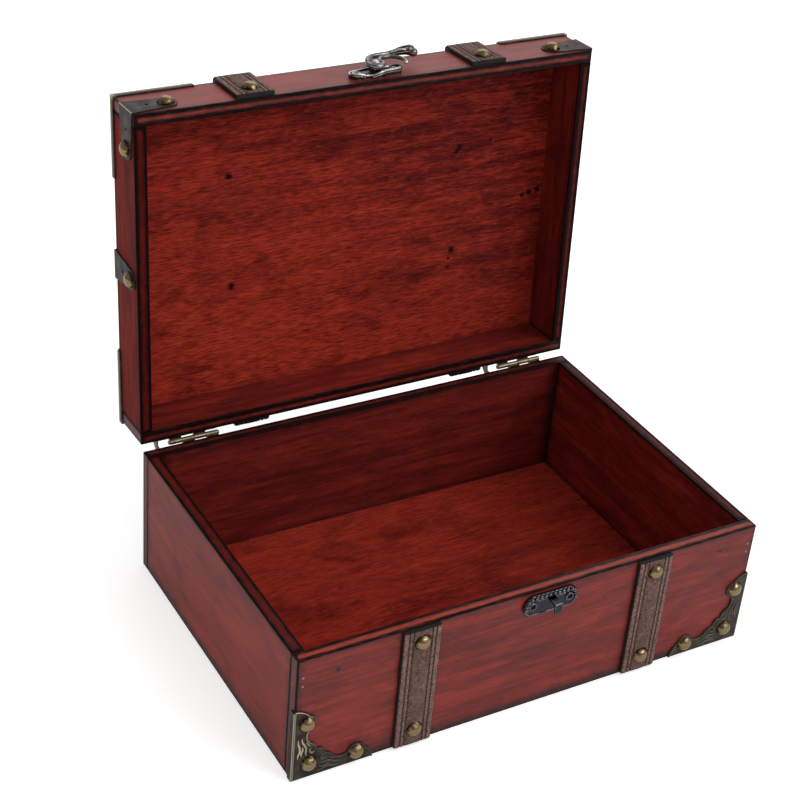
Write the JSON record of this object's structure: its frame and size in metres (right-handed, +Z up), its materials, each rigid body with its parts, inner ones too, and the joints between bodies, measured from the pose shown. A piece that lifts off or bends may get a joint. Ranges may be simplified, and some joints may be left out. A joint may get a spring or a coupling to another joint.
{
  "type": "wooden storage box",
  "caption": "Shallow trunk-style wooden box with a hinged lid, leather-look straps, studded metal corners and a swinging hook latch.",
  "frame": {"origin": "middle of the box's underside, on the surface it stands on", "axes": "+X to the box's right seen from the latch side, +Y from the latch side to the hinges, +Z up"},
  "size_m": [0.2884, 0.2513, 0.2845],
  "materials": {
    "stained_wood": "red-brown mahogany stain with darkened edges, satin lacquer",
    "dark_leather": "dark brown grained leather-look strap with black edges and two rows of stitching",
    "antique_brass": "antiqued brass plate, polished on the high spots",
    "aged_bronze": "pressed relief, darkened, with worn bright ridges",
    "dark_gunmetal": "dark antique plating, rubbed bright on the edges",
    "hinge_brass": "tarnished brass plate",
    "bright_steel": "bright drawn wire"
  },
  "bodies": {
    "base": {"base_back_board": "stained_wood", "base_back_strap_left": "dark_leather", "base_back_strap_right": "dark_leather", "base_board_brads": "bright_steel", "base_bottom_panel": "stained_wood", "base_bracket_left": "aged_bronze", "base_bracket_right": "aged_bronze", "base_bracket_studs": "antique_brass", "base_front_board": "stained_wood", "base_front_strap_left": "dark_leather", "base_front_strap_right": "dark_leather", "base_hinge_leaf_left": "hinge_brass", "base_hinge_leaf_right": "hinge_brass", "base_hinge_screws": "hinge_brass", "base_left_board": "stained_wood", "base_right_board": "stained_wood", "base_strap_studs": "antique_brass", "bottom_panel_brads": "bright_steel", "catch_plate": "dark_gunmetal", "catch_plate_tacks": "antique_brass", "hinge_pin_left": "hinge_brass", "hinge_pin_right": "hinge_brass"},
    "lid": {"lid_angle_studs": "antique_brass", "lid_back_board": "stained_wood", "lid_board_brads": "bright_steel", "lid_bracket_back_left": "aged_bronze", "lid_bracket_back_right": "aged_bronze", "lid_bracket_front_left": "aged_bronze", "lid_bracket_front_right": "aged_bronze", "lid_bracket_studs": "antique_brass", "lid_corner_angle_left": "aged_bronze", "lid_corner_angle_right": "aged_bronze", "lid_front_board": "stained_wood", "lid_hinge_leaf_left": "hinge_brass", "lid_hinge_leaf_right": "hinge_brass", "lid_hinge_screws": "hinge_brass", "lid_left_board": "stained_wood", "lid_right_board": "stained_wood", "lid_side_angle_left": "aged_bronze", "lid_side_angle_right": "aged_bronze", "lid_strap_left": "dark_leather", "lid_strap_right": "dark_leather", "lid_strap_studs": "antique_brass", "lid_top_panel": "stained_wood", "hook_plate": "dark_gunmetal", "hook_plate_tacks": "antique_brass", "hook_rivet": "dark_gunmetal"},
    "hook": {"latch_hook": "dark_gunmetal"}
  },
  "joints": [
    {"name": "lid_hinge", "type": "hinge", "parent": "base", "child": "lid", "pos_m": [0, 0.0994, 0.07815], "axis": [1, 0, 0], "range_deg": [0, 93]},
    {"name": "hook_swing", "type": "hinge", "parent": "lid", "child": "hook", "pos_m": [0.0029, 0.11812, 0.27384], "axis": [0, 0.0523, 0.9986], "range_deg": [-90, 90]}
  ]
}
